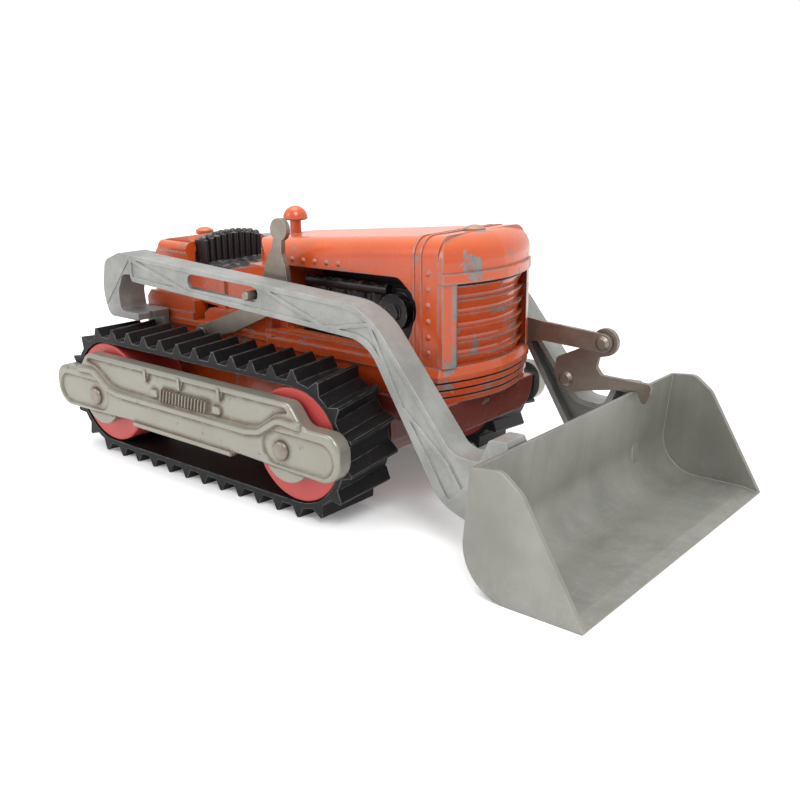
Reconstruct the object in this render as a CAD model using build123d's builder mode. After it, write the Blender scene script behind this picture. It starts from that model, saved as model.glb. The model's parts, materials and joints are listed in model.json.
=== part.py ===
from build123d import *
from math import atan2, cos, degrees, pi, sin
import os

# Toy crawler tractor with a front loader bucket, in millimetres.
# +X is forward, +Y is the driver's left, +Z is up, and the ground is z = 0.
# Every length "along" the machine is measured forward from the rear axle.

# Driving dimensions
wheelbase = 101.6
lip_reach = 213.4
wheel_radius = 19.3
wheel_belt_gap = 0.3
belt_thickness = 1.9
cleat_height = 3.7
track_inner_y = 31.0
track_width = 22.0
arm_outer_y = 42.0
arm_inner_y = 32.2
bucket_width = 123.2
sheet = 1.6
rod_radius = 1.6
running_gap = 0.05

# Sizes that follow from them
belt_inner_radius = wheel_radius + wheel_belt_gap
belt_outer_radius = belt_inner_radius + belt_thickness
axle_height = belt_outer_radius + cleat_height
rear_axle_x = -(lip_reach - axle_height) / 2
track_mid_y = track_inner_y + track_width / 2
hinge_hole_radius = rod_radius + running_gap

# Pivots, as (distance forward of the rear axle, height)
rear_axle_at = (0.0, axle_height)
front_axle_at = (wheelbase, axle_height)
arm_pivot = (1.0, 32.0)
lever_pivot = (29.0, 48.0)
lever_pin_at = (71.2, 69.2)
bucket_pivot = (168.5, 14.0)
latch_pivot = (152.5, 38.0)
latch_joint = (167.0, 53.0)

os.makedirs("parts", exist_ok=True)


def side_plane(y):
    """Upright plane along the machine: local x forward from the rear axle, local y up."""
    return Plane(origin=(rear_axle_x, y, 0), x_dir=(1, 0, 0), z_dir=(0, -1, 0))


def level_plane(height):
    """Level plane: local x forward from the rear axle, local y to the driver's left."""
    return Plane(origin=(rear_axle_x, 0, height), x_dir=(1, 0, 0), z_dir=(0, 0, 1))


def cross_plane(x):
    """Upright plane across the machine: local x to the driver's left, local y up."""
    return Plane(origin=(rear_axle_x + x, 0, 0), x_dir=(0, 1, 0), z_dir=(1, 0, 0))


def outline(points, radius=0.0, mode=Mode.ADD):
    """Closed face through the points, with its corners rounded."""
    with BuildLine() as edge:
        if radius:
            FilletPolyline(*points, radius=radius, close=True)
        else:
            Polyline(*points, close=True)
    make_face(edge.edges(), mode=mode)


def stroke(points, width, radius=0.0):
    """Band of constant width along the points."""
    with BuildLine() as path:
        if radius:
            FilletPolyline(*points, radius=radius)
        else:
            Polyline(*points)
    trace(path.edges(), line_width=width)


def finish(piece, name):
    """Label the finished piece and write it."""
    piece.label = name
    export_step(piece, f"parts/{name}.step")


# ---------------------------------------------------------------- tracks

def loop_point(travel, radius):
    """Point and heading on the track loop, after a travel along the belt's outer face."""
    arc = pi * belt_outer_radius
    travel = travel % (2 * wheelbase + 2 * arc)
    if travel < wheelbase:
        return (travel, axle_height + radius), 0.0
    if travel < wheelbase + arc:
        turn = (travel - wheelbase) / belt_outer_radius
        return (wheelbase + radius * sin(turn), axle_height + radius * cos(turn)), -turn
    if travel < 2 * wheelbase + arc:
        return (2 * wheelbase + arc - travel, axle_height - radius), pi
    turn = (travel - 2 * wheelbase - arc) / belt_outer_radius
    return (-radius * sin(turn), axle_height - radius * cos(turn)), pi - turn


def build_track(side):
    """Moulded rubber belt with skewed, sharp-crested cleats."""
    cleats = 35
    crest_width = 0.9
    root_width = 4.9
    cleat_skew = 3.0
    embed = 0.3
    pitch = (2 * wheelbase + 2 * pi * belt_outer_radius) / cleats
    outer_y = track_inner_y + track_width
    with BuildPart() as track:
        with BuildSketch(side_plane(side * track_mid_y)):
            with Locations((wheelbase / 2, axle_height)):
                SlotCenterToCenter(wheelbase, 2 * belt_outer_radius)
                SlotCenterToCenter(wheelbase, 2 * belt_inner_radius, mode=Mode.SUBTRACT)
        extrude(amount=track_width / 2, both=True)
        for i in range(cleats):
            (x, z), heading = loop_point(i * pitch + pitch / 2, belt_outer_radius)
            along = Vector(cos(heading), 0, sin(heading))
            inward = Vector(0, -side, 0)
            flat = Plane(origin=(rear_axle_x + x, side * outer_y, z), x_dir=along, z_dir=inward)
            up = flat.y_dir.dot(Vector(-sin(heading), 0, cos(heading)))
            profile = [
                (root_width / 2, -embed),
                (root_width / 2, 0.1),
                (crest_width / 2, cleat_height),
            ]
            profile = profile + [(-a, b) for a, b in reversed(profile)]
            with BuildSketch(flat):
                outline([(a, b * up) for a, b in profile])
            drop = 0.0 if heading in (0.0, pi) else cleat_skew**2 / (2 * axle_height)
            outward = Vector(-sin(heading), 0, cos(heading))
            sweep = inward * track_width - along * cleat_skew - outward * drop
            extrude(amount=sweep.length, dir=sweep)
    return track.part


track_right = build_track(-1)
finish(track_right, "track_right")
finish(mirror(track_right, about=Plane.XZ), "track_left")

# ---------------------------------------------------------------- wheels


def build_wheel(side, at):
    """Plain disc wheel with a shallow recess round its hub on the inner side."""
    face_y = track_inner_y + track_width - 0.4
    inner_y = track_inner_y + 0.5
    recess = 1.6
    with BuildPart() as wheel:
        with BuildSketch(side_plane(side * (face_y + inner_y) / 2)):
            with Locations(at):
                Circle(wheel_radius)
        extrude(amount=(face_y - inner_y) / 2, both=True)
        outer_rim = wheel.faces().sort_by(Axis.Y)[0 if side < 0 else -1].edges()
        fillet(outer_rim, 0.8)
        with BuildSketch(side_plane(side * inner_y)):
            with Locations(at):
                Circle(wheel_radius - 2.5)
                Circle(5.0, mode=Mode.SUBTRACT)
        extrude(amount=recess, both=True, mode=Mode.SUBTRACT)
        with BuildSketch(side_plane(0)):
            with Locations(at):
                Circle(hinge_hole_radius)
        extrude(amount=arm_outer_y * 2, both=True, mode=Mode.SUBTRACT)
    return wheel.part


for side, hand in ((-1, "right"), (1, "left")):
    finish(build_wheel(side, rear_axle_at), f"wheel_rear_{hand}")
    finish(build_wheel(side, front_axle_at), f"wheel_front_{hand}")

# ---------------------------------------------------------------- side frames and axles

frame_face_y = 59.6
dish_depth = 0.7
axle_head_y = frame_face_y - dish_depth
frame_boss_y = track_inner_y + track_width + 0.2
frame_mid = wheelbase / 2
bead_path = [(-60.5, 34.6), (-50.5, 35.2), (-41.5, 29.6), (-35.0, 28.5)]
panel_edge = [(-53.4, 39.9), (-55.4, 38.2), (-49.6, 37.0), (-40.8, 31.3), (-34.6, 30.2)]
panel_radii = [1.2, 0.6, 4.0, 6.0, 6.0]


def mirrored_ends(points):
    """Points given from the frame's middle, rear half only, with the front half added."""
    front = [(-x, z) for x, z in reversed(points)]
    return [(frame_mid + x, z) for x, z in points + front]


def build_side_frame(side):
    """Pressed side frame: pan with rolled edge, S-shaped bead and a cast-in coil spring."""
    skin = 2.4
    relief = 1.0
    pan_depth = 5.4
    lobe_set_back = 2.2
    spring_coils = 15
    spring_length = 24.0
    spring_radius = 2.4
    spring_height = 33.0
    panel_y = frame_face_y - relief
    rim = mirrored_ends(
        [(-25.5, 17.2), (-27.8, 19.4), (-76.4, 17.9), (-76.4, 34.4), (-60.5, 34.4), (-55.0, 41.4)]
    )
    rim_radii = [1.0, 1.5, 8.0, 6.0, 5.0, 5.0]
    with BuildPart() as frame:
        with BuildSketch(side_plane(side * frame_face_y)):
            outline(rim, rim_radii + rim_radii[::-1])
        extrude(amount=side * pan_depth)
        front_face = frame.faces().sort_by(Axis.Y)[0 if side < 0 else -1]
        fillet(front_face.edges(), 1.2)
        with BuildSketch(side_plane(side * (frame_face_y - pan_depth))):
            outline(rim, rim_radii + rim_radii[::-1])
            offset(amount=-skin, mode=Mode.REPLACE)
        extrude(amount=-side * (pan_depth - skin), mode=Mode.SUBTRACT)
        # round lobes set back behind the lower edge, one round each axle
        with BuildSketch(side_plane(side * (frame_face_y - lobe_set_back))):
            with Locations(rear_axle_at, front_axle_at):
                Circle(11.4)
        extrude(amount=side * skin)
        # bosses that space the frame off the wheels
        with BuildSketch(side_plane(side * frame_boss_y)):
            with Locations(rear_axle_at, front_axle_at):
                Circle(4.2)
        extrude(amount=-side * (frame_face_y - frame_boss_y - skin))
        # sunk upper panel, and a dish round each rivet
        with BuildSketch(side_plane(side * frame_face_y)):
            outline(mirrored_ends(panel_edge), panel_radii + panel_radii[::-1])
        extrude(amount=side * relief, taper=30, mode=Mode.SUBTRACT)
        for end in (-1, 1):
            with BuildSketch(side_plane(side * frame_face_y)):
                with Locations((frame_mid + end * 58.2, axle_height + 0.4)):
                    SlotOverall(32.0, 11.6)
            extrude(amount=side * dish_depth, taper=35, mode=Mode.SUBTRACT)
        # raised S-shaped bead
        with BuildSketch(side_plane(side * (frame_face_y - 0.2))):
            stroke(mirrored_ends(bead_path), 3.0, 6.0)
        extrude(amount=-side * 1.3, taper=30)
        # coil spring in relief, between two small arches
        for i in range(spring_coils):
            x = frame_mid + 3.0 + (i / (spring_coils - 1) - 0.5) * spring_length
            lean = 0.5
            coil = [(x - lean, spring_height - spring_radius), (x + lean, spring_height + spring_radius)]
            with BuildSketch(side_plane(side * (panel_y - 0.2))):
                stroke(coil, 0.95)
            extrude(amount=-side * 1.9, taper=8)
        for x in (frame_mid - 14.0, frame_mid + 20.0):
            with BuildSketch(side_plane(side * (panel_y - 0.2))):
                outline([(x - 2.6, 31.0), (x - 2.0, 34.4), (x + 2.0, 34.4), (x + 2.6, 31.0)], 1.2)
            extrude(amount=-side * 1.1, taper=20)
        # straps down from the upper edge
        for x in (-18.0, 1.0, 22.0):
            with BuildSketch(side_plane(side * (panel_y - 0.2))):
                strap = [(frame_mid + x - 2.4, 40.6), (frame_mid + x + 2.4, 40.6), (frame_mid + x, 35.6)]
                outline(strap, 0.5)
            extrude(amount=-side * 0.9)
            with BuildSketch(side_plane(side * (panel_y - 0.2))):
                with Locations((frame_mid + x, 38.6)):
                    Rectangle(1.2, 4.4)
            extrude(amount=-side * 1.5)
        # lower lip
        with BuildSketch(side_plane(side * (frame_face_y - 0.4))):
            with Locations((frame_mid, 18.9)):
                Rectangle(54.0, 2.0)
        extrude(amount=-side * 1.1, taper=15)
        with BuildSketch(side_plane(0)):
            with Locations(rear_axle_at, front_axle_at):
                Circle(rod_radius)
        extrude(amount=bucket_width, both=True, mode=Mode.SUBTRACT)
    return frame.part


side_frame_right = build_side_frame(-1)
finish(side_frame_right, "side_frame_right")
finish(mirror(side_frame_right, about=Plane.XZ), "side_frame_left")


def build_axle(at):
    """Steel rod through the whole machine, its ends peened into domed heads."""
    head_radius = 3.3
    head_height = 1.5
    with BuildPart() as axle:
        with BuildSketch(side_plane(0)):
            with Locations(at):
                Circle(rod_radius)
        extrude(amount=axle_head_y, both=True)
        for side in (-1, 1):
            with BuildSketch(side_plane(side * axle_head_y)):
                with Locations(at):
                    Circle(head_radius)
            extrude(amount=-side * head_height)
        ends = axle.faces().filter_by(GeomType.PLANE).sort_by(Axis.Y)
        fillet(ends[0].edges() + ends[-1].edges(), head_height - 0.2)
    return axle.part


finish(build_axle(rear_axle_at), "axle_rear")
finish(build_axle(front_axle_at), "axle_front")

# ---------------------------------------------------------------- body casting

hood_rear = 47.0
hood_front = 138.0
hood_rear_half = 20.0
hood_front_half = 24.6
hood_rear_top = 84.2
hood_front_top = 91.8
hood_bottom = 50.5
hood_edge_radius = 6.5
tub_half = 24.0
skirt_half = 26.3
nose_corner = 139.8
nose_bow = 6.2
lever_inner_y = 27.5
lever_outer_y = 29.5
air_cleaner_seat = (51.7, 84.2, 2.6)
radiator_cap_seat = (134.2, 90.9, 3.4)
fuel_cap_seat = (-1.9, 79.9, 3.6)
skirt_rear = 120.0
skirt_bottom = 38.8
wall = 2.2


def hood_at(x, rear_value, front_value):
    """Hood size at a station, tapering evenly from the rear value to the front one."""
    return rear_value + (front_value - rear_value) * (x - hood_rear) / (hood_front - hood_rear)


def hood_section(x, grow=0.0):
    """Cross-section of the hood: upright sides and a flat top with rounded edges."""
    half = hood_at(x, hood_rear_half, hood_front_half) + grow
    top = hood_at(x, hood_rear_top, hood_front_top) + grow
    edge = hood_edge_radius
    with BuildLine() as edge_line:
        Line((-half, hood_bottom), (-half, top - edge))
        RadiusArc((-half, top - edge), (-half + edge, top), edge)
        Line((-half + edge, top), (half - edge, top))
        RadiusArc((half - edge, top), (half, top - edge), edge)
        Line((half, top - edge), (half, hood_bottom))
        Line((half, hood_bottom), (-half, hood_bottom))
    make_face(edge_line.edges())


def bowed_plan(half, corner, bow, rear):
    """Plan outline with a straight back, straight sides and a bowed, faintly creased front."""
    with BuildLine() as plan:
        Line((rear, -half), (corner, -half))
        for side in (-1, 1):
            flank = (corner + 0.72 * bow, side * half / 2)
            ThreePointArc((corner, side * half), flank, (corner + bow, 0))
        Line((corner, half), (rear, half))
        Line((rear, half), (rear, -half))
    make_face(plan.edges())


def slab(points, half_width, radius=0.0, mode=Mode.ADD):
    """Prism across the machine, centred on it, from a side outline."""
    with BuildSketch(side_plane(0)) as profile:
        outline(points, radius)
    extrude(profile.sketch, amount=half_width, both=True, mode=mode)


def side_slabs(points, y, thickness, radius=0.0, mode=Mode.ADD):
    """The same prism on both sides, its outer face at |y|."""
    for side in (-1, 1):
        with BuildSketch(side_plane(side * y)) as profile:
            outline(points, radius)
        extrude(profile.sketch, amount=side * thickness, mode=mode)


def hood_rivet(x, z, side):
    """Small domed rivet head on the hood's side."""
    half = hood_at(x, hood_rear_half, hood_front_half)
    with Locations(Location((rear_axle_x + x, side * (half - 0.35), z))):
        Sphere(1.0)


def build_body():
    """Main die casting: tub, hood shell, sills, fenders, rear tank and seat well."""
    opening = [(67.0, 53.6), (67.0, 76.6), (121.5, 77.8), (130.7, 70.5), (125.8, 58.0), (118.0, 53.6)]
    with BuildPart() as body:
        # tub between the tracks, with its deeper front end
        slab([(-12.0, 13.0), (-12.0, 51.0), (118.0, 51.0), (118.0, 22.0), (108.0, 13.0)], tub_half)
        with BuildSketch(cross_plane(112.0)):
            with Locations((0, (28.0 + skirt_bottom) / 2)):
                Rectangle(2 * 25.9, skirt_bottom - 28.0)
            fillet(vertices().group_by(Axis.Y)[0], 8.5)
        extrude(amount=29.5)
        # flat skirt round the tub at the top of the tracks
        slab([(-13.6, 49.2), (-13.6, 51.4), (64.0, 51.4), (64.0, 49.2)], 26.2)
        # stepped fender boxes
        slab([(-10.6, 51.0), (-10.6, 54.3), (19.5, 54.3), (19.5, 51.0)], 25.9)
        slab([(-9.7, 54.0), (-9.7, 57.8), (-7.2, 60.6), (18.0, 60.6), (19.5, 58.6), (19.5, 54.0)], 24.9)
        slab([(24.0, 50.8), (24.0, 54.6), (27.0, 56.8), (58.0, 57.8), (61.4, 57.8), (61.4, 50.8)], 23.6)
        # seat well sides and floor
        slab([(-9.0, 60.0), (-9.0, 71.0), (30.0, 71.0), (52.0, 75.0), (60.0, 75.0), (60.0, 55.0)], 20.6)
        # rear tank
        with BuildSketch(side_plane(0)):
            outline(
                [(-13.8, 60.0), (-13.8, 73.6), (-9.0, 79.2), (-5.5, 80.2), (8.0, 82.2), (10.5, 80.0), (10.5, 60.0)]
            )
        extrude(amount=17.0, both=True)
        # armrest rolls
        for side in (-1, 1):
            with BuildSketch(cross_plane(-6.0)):
                with Locations((side * 18.2, 77.4)):
                    Circle(2.6)
                with Locations((side * 18.2, 73.5)):
                    Rectangle(3.6, 7.0)
            extrude(amount=17.5)
        # upright ribs on the seat well's sides
        side_slabs([(30.0, 57.0), (30.0, 71.0), (34.0, 71.7), (34.0, 57.0)], 21.6, 2.0)
        # hood
        with BuildSketch(cross_plane(hood_rear)):
            hood_section(hood_rear)
        with BuildSketch(cross_plane(hood_front)):
            hood_section(hood_front)
        loft()
        # cowl rounded off at its rear corners
        for side in (-1, 1):
            with BuildSketch(level_plane(75.2)):
                with BuildLine() as edge_line:
                    ThreePointArc((46.9, side * 9.0), (49.9, side * 15.6), (57.5, side * 20.8))
                    Polyline((57.5, side * 20.8), (57.5, side * 23.0), (45.0, side * 23.0))
                    Polyline((45.0, side * 23.0), (45.0, side * 9.0), (46.9, side * 9.0))
                make_face(edge_line.edges())
            extrude(amount=12.0, mode=Mode.SUBTRACT)
        # sills under the engine
        slab([(60.0, 50.5), (60.0, 53.4), (124.0, 53.4), (124.0, 50.5)], 25.4)
        slab([(62.0, 48.0), (62.0, 51.0), (skirt_rear, 51.0), (skirt_rear, 48.0)], 26.9)
        # twin seams over the hood
        for x in (127.6, 130.6):
            with BuildSketch(cross_plane(x)):
                hood_section(x, 0.35)
            extrude(amount=0.9)
        # hollow tub, open below
        slab(
            [(-9.5, 12.0), (-9.5, 47.0), (115.0, 47.0), (115.0, 24.0), (106.0, 12.0)],
            tub_half - wall,
            0.0,
            Mode.SUBTRACT,
        )
        # hollow tank and seat well, open into the tub
        slab([(-7.3, 46.0), (-7.3, 73.5), (8.0, 77.0), (8.0, 46.0)], 14.5, 0.0, Mode.SUBTRACT)
        slab([(7.0, 46.0), (7.0, 63.6), (57.0, 63.6), (57.0, 46.0)], 18.0, 0.0, Mode.SUBTRACT)
        # hollow hood, open into the tub
        with BuildSketch(cross_plane(64.0)):
            with Locations((0, 66.5)):
                Rectangle(36.0, 29.0)
        with BuildSketch(cross_plane(hood_front - 3.0)):
            with Locations((0, 68.0)):
                Rectangle(44.0, 32.0)
        loft(mode=Mode.SUBTRACT)
        slab([(66.0, 40.0), (66.0, 60.0), (112.0, 60.0), (112.0, 40.0)], 17.5, 0.0, Mode.SUBTRACT)
        # engine openings
        with BuildSketch(side_plane(0)):
            outline(opening, [1.0, 1.5, 4.5, 8.0, 5.0, 1.0])
        extrude(amount=40.0, both=True, mode=Mode.SUBTRACT)
        # seat recess
        slab([(17.0, 66.0), (17.0, 90.0), (44.0, 90.0), (44.0, 66.0)], 15.6, 0.0, Mode.SUBTRACT)
        # rivets
        for side in (-1, 1):
            for i in range(6):
                hood_rivet(134.1, 80.3 - 5.05 * i, side)
            for i in range(5):
                hood_rivet(71.0 + 5.8 * i, 79.0 + 0.15 * i, side)
        # lever boss on the right side, and the short steering post
        with BuildSketch(side_plane(-tub_half)):
            with Locations(lever_pivot):
                Circle(3.2)
        extrude(amount=lever_inner_y - 0.1 - tub_half)
        with BuildSketch(level_plane(73.0)):
            with Locations((47.0, -12.0)):
                Circle(1.3)
        extrude(amount=7.0)
        # flat seats for the caps and the air cleaner
        for x, z, radius in (air_cleaner_seat, radiator_cap_seat, fuel_cap_seat):
            with BuildSketch(level_plane(z)):
                with Locations((x, 0)):
                    Circle(radius + 0.2)
            extrude(amount=12.0, mode=Mode.SUBTRACT)
        # bores for the axles, the arm pivot rod and the lever rivet
        with BuildSketch(side_plane(0)):
            with Locations(rear_axle_at, front_axle_at, arm_pivot):
                Circle(rod_radius)
        extrude(amount=30.0, both=True, mode=Mode.SUBTRACT)
        with BuildSketch(side_plane(-tub_half + 4.0)):
            with Locations(lever_pivot):
                Circle(rod_radius)
        extrude(amount=10.0, mode=Mode.SUBTRACT)
    return body.part


finish(build_body(), "body_casting")


def build_nose():
    """Front casting: rounded nose, proud band, louvred radiator and ribbed skirt."""
    panel_half = 21.5
    panel_set_back = 1.5
    louvres = 6
    louvre_pitch = 4.45
    louvre_height = 3.0
    panel_corner = nose_corner - panel_set_back
    with BuildPart() as nose:
        with BuildSketch(level_plane(hood_bottom)):
            bowed_plan(hood_front_half, nose_corner, nose_bow, skirt_rear)
        extrude(amount=hood_front_top - hood_bottom)
        top = nose.faces().sort_by(Axis.Z)[-1]
        fillet(top.edges().sort_by(Axis.X)[1:], hood_edge_radius + 1.5)
        # set-back radiator with sloped louvres
        with BuildSketch(level_plane(hood_bottom)):
            bowed_plan(panel_half, nose_corner + 1.0, nose_bow + 1.0, hood_front)
        extrude(amount=27.2, mode=Mode.SUBTRACT)
        with BuildSketch(level_plane(hood_bottom - 1.0)):
            bowed_plan(panel_half + 0.2, panel_corner - 0.6, nose_bow, hood_front - 3.0)
        extrude(amount=29.0)
        for i in range(louvres):
            base = hood_bottom + 0.5 + i * louvre_pitch
            with BuildSketch(level_plane(base)):
                bowed_plan(panel_half + 0.2, panel_corner - 0.5, nose_bow, hood_front - 1.0)
            with BuildSketch(level_plane(base + louvre_height)):
                bowed_plan(panel_half + 0.2, panel_corner + 1.1, nose_bow + 0.2, hood_front - 1.0)
            loft()
        # proud band over the radiator
        with BuildSketch(level_plane(77.3)):
            bowed_plan(hood_front_half + 0.3, nose_corner + 0.5, nose_bow + 0.9, hood_front)
        extrude(amount=3.3)
        # skirt of ribs, each lower one set a little further back
        for i in range(4):
            back = 0.35 * (3 - i)
            with BuildSketch(level_plane(skirt_bottom + 2.5 * i)):
                bowed_plan(skirt_half - back, nose_corner - 0.4 - back, nose_bow + 0.6, skirt_rear)
            extrude(amount=1.8)
        with BuildSketch(level_plane(skirt_bottom)):
            bowed_plan(skirt_half - 1.8, nose_corner - 2.4, nose_bow + 0.4, skirt_rear)
        extrude(amount=10.0)
        with BuildSketch(level_plane(48.0)):
            bowed_plan(skirt_half, nose_corner - 0.4, nose_bow + 0.6, skirt_rear)
        with BuildSketch(level_plane(hood_bottom + 0.1)):
            bowed_plan(skirt_half - 1.7, nose_corner - 0.9, nose_bow, skirt_rear)
        loft()
        # cut back to the hood's front, and hollowed behind the skirt
        with BuildSketch(cross_plane(hood_front)):
            with Locations((0, hood_bottom + 50.0)):
                Rectangle(4 * skirt_half, 100.0)
        extrude(amount=-50.0, mode=Mode.SUBTRACT)
        with BuildSketch(cross_plane(skirt_rear)):
            with Locations((0, 46.0)):
                Rectangle(2 * (skirt_half - 5.0), 10.0)
        extrude(amount=17.0, mode=Mode.SUBTRACT)
    return nose.part


finish(build_nose(), "nose_casting")

# ---------------------------------------------------------------- engine, seat and fittings


def build_engine():
    """Black engine moulding seen through the hood's side openings."""
    half = 12.0
    with BuildPart() as engine:
        slab([(68.0, 46.0), (68.0, 70.0), (121.0, 72.0), (121.0, 52.0), (111.0, 52.0), (111.0, 46.0)], half)
        slab([(72.0, 69.0), (72.0, 75.0), (112.0, 76.0), (112.0, 69.0)], 7.0, 1.5)
        for side in (-1, 1):
            # cylinder barrels
            for i in range(4):
                with BuildSketch(level_plane(54.0)):
                    with Locations((76.0 + 9.0 * i, side * (half - 1.0))):
                        Circle(3.6)
                extrude(amount=17.0)
            # manifold along the top of the barrels
            with BuildSketch(cross_plane(71.0)):
                with Locations((side * (half + 1.4), 71.0)):
                    Circle(2.0)
            extrude(amount=38.0)
            # pump body with its round cover
            with BuildSketch(side_plane(side * (half - 1.0))):
                with Locations((112.0, 64.0)):
                    Circle(6.2)
            extrude(amount=-side * 4.5)
            with BuildSketch(side_plane(side * (half - 1.0))):
                with Locations((112.0, 64.0)):
                    Circle(3.0)
            extrude(amount=-side * 5.6)
            side_slabs([(70.0, 52.4), (70.0, 57.0), (104.0, 57.0), (104.0, 52.4)], half + 3.4, 4.0)
        # fan disc at the front
        with BuildSketch(cross_plane(120.5)):
            with Locations((0, 65.0)):
                Circle(12.6)
        extrude(amount=3.0)
    return engine.part


finish(build_engine(), "engine_block")


def build_seat():
    """Rolled and pleated seat back with a plain cushion."""
    rolls = 10
    half = 15.4
    roll_radius = half / rolls
    back_x = 12.6
    crown = 84.0
    shoulder_drop = 2.2
    with BuildPart() as seat:
        with BuildSketch(cross_plane(10.7)):
            with BuildLine():
                Line((-half, 71.2), (-half, crown - shoulder_drop - 0.8))
                ThreePointArc(
                    (-half, crown - shoulder_drop - 0.8),
                    (0, crown - 0.8),
                    (half, crown - shoulder_drop - 0.8),
                )
                Line((half, crown - shoulder_drop - 0.8), (half, 71.2))
                Line((half, 71.2), (-half, 71.2))
            make_face()
        extrude(amount=2.8)
        for i in range(rolls):
            y = -half + roll_radius * (2 * i + 1)
            top = crown - shoulder_drop * (y / half) ** 2 - roll_radius
            with BuildSketch(level_plane(71.2)):
                with Locations((back_x + 1.2, y)):
                    Ellipse(2.6, roll_radius * 0.98)
            extrude(amount=top - 71.2)
            with Locations(Location((rear_axle_x + back_x + 1.2, y, top))):
                Sphere(roll_radius)
        with BuildSketch(level_plane(66.1)):
            with Locations((28.0, 0)):
                RectangleRounded(21.6, 2 * half - 1.0, 2.0)
        extrude(amount=6.0)
        fillet(seat.faces().filter_by(Axis.Z).sort_by(SortBy.AREA)[-1].edges(), 1.2)
        with BuildSketch(level_plane(71.2)):
            with Locations((16.5, 0)):
                Rectangle(5.0, 2 * half - 4.0)
        extrude(amount=0.8)
    return seat.part


finish(build_seat(), "seat")


def build_turned(points, crown, seat_at, name):
    """Turned fitting on the centre line: half-section points (radius, height), then a dome."""
    x, z, _ = seat_at
    rim_radius, rim_height = points[-1]
    rise = crown - rim_height
    dome_radius = (rim_radius**2 + rise**2) / (2 * rise)
    half_angle = atan2(rim_radius, dome_radius - rise) / 2
    shoulder = (dome_radius * sin(half_angle), crown - dome_radius * (1 - cos(half_angle)))
    with BuildPart() as fitting:
        with BuildSketch(Plane(origin=(rear_axle_x + x, 0, z), x_dir=(1, 0, 0), z_dir=(0, -1, 0))):
            with BuildLine():
                Polyline((0, crown), (0, 0), *points)
                ThreePointArc(points[-1], shoulder, (0, crown))
            make_face()
        revolve(axis=Axis((rear_axle_x + x, 0, z), (0, 0, 1)))
    finish(fitting.part, name)


build_turned(
    [(2.6, 0), (2.1, 0.7), (2.1, 5.3), (4.2, 5.6), (4.65, 6.05)],
    10.7,
    air_cleaner_seat,
    "air_cleaner",
)
build_turned([(3.4, 0), (3.4, 1.2)], 2.3, radiator_cap_seat, "radiator_cap")
build_turned([(2.6, 0), (2.6, 0.8), (3.6, 1.0), (3.6, 2.4)], 3.7, fuel_cap_seat, "fuel_cap")

plate_top = 13.0
plate_thickness = 1.2
screw_stations = (8.0, 92.0)

with BuildPart() as belly_plate:
    with BuildSketch(level_plane(plate_top - plate_thickness)):
        with Locations((48.0, 0)):
            RectangleRounded(114.0, 2 * tub_half - 1.0, 3.0)
        for x in screw_stations:
            with Locations((x, 0)):
                Circle(1.5, mode=Mode.SUBTRACT)
    extrude(amount=plate_thickness)
finish(belly_plate.part, "belly_plate")

with BuildPart() as belly_screws:
    for x in screw_stations:
        with BuildSketch(level_plane(plate_top - plate_thickness)):
            with Locations((x, 0)):
                Circle(1.4)
        extrude(amount=6.0)
        with BuildSketch(level_plane(plate_top - plate_thickness)):
            with Locations((x, 0)):
                Circle(2.9)
        extrude(amount=-1.3)
finish(belly_screws.part, "belly_screws")


def rivet(at, head_radius, start_y, end_y, head, end_head=True):
    """Round shank from one signed y position up to a greater one, with domed heads."""
    with BuildSketch(side_plane(end_y)) as shank:
        with Locations(at):
            Circle(rod_radius)
    extrude(shank.sketch, amount=end_y - start_y)
    for end, away in ((start_y, -1), (end_y, 1))[: 1 + end_head]:
        with BuildSketch(side_plane(end)) as cap:
            with Locations(at):
                Circle(head_radius)
        with BuildSketch(side_plane(end + away * head)) as crown:
            with Locations(at):
                Circle(head_radius * 0.6)
        loft([cap.sketch.face(), crown.sketch.face()])


hook_inner_y = 27.0
hook_outer_y = 29.6
end_float = 0.05

with BuildPart() as arm_pivot_rod:
    rivet(arm_pivot, 2.7, -hook_outer_y - end_float, hook_outer_y + end_float, 0.9)
finish(arm_pivot_rod.part, "arm_pivot_rod")

with BuildPart() as lever_rivet:
    with BuildSketch(side_plane(-tub_half + 3.0)):
        with Locations(lever_pivot):
            Circle(rod_radius)
    extrude(amount=lever_outer_y + end_float - tub_half + 3.0)
    with BuildSketch(side_plane(-lever_outer_y - end_float)):
        with Locations(lever_pivot):
            Circle(2.7)
    extrude(amount=0.9)
finish(lever_rivet.part, "lever_rivet")

# ---------------------------------------------------------------- loader arms

web_inner_y = 40.0
web_outer_y = 41.5
hook_face_y = 41.65
lower_flange_inner_y = 36.0
arm_shape = [
    ((6.5, 54.9), 0.4),
    ((-4.4, 54.9), 2.0),
    ((-5.2, 62.0), 6.0),
    ((-1.8, 69.4), 3.0),
    ((3.4, 69.8), 0.8),
    ((5.0, 67.3), 1.0),
    ((123.7, 60.5), 14.0),
    ((152.2, 14.2), 16.0),
    ((163.9, 10.7), 2.0),
    ((168.5, 9.4), 1.5),
    ((174.3, 17.0), 1.0),
    ((176.3, 37.0), 1.0),
    ((175.5, 38.6), 0.5),
    ((169.8, 38.4), 1.5),
    ((166.5, 30.5), 3.0),
    ((156.6, 31.0), 7.0),
    ((123.4, 71.2), 24.0),
    ((-3.0, 77.6), 6.0),
    ((-12.5, 74.0), 5.0),
    ((-15.2, 62.0), 14.0),
    ((-12.2, 52.2), 4.0),
    ((6.5, 52.2), 0.4),
]
under_top_flange = [
    ((5.0, 75.6), 1.0),
    ((122.5, 69.7), 22.0),
    ((155.7, 29.0), 7.0),
    ((167.9, 28.5), 3.0),
    ((171.2, 36.5), 0.5),
    ((190.0, 36.5), 0.5),
    ((190.0, 0.0), 0.5),
]
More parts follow.
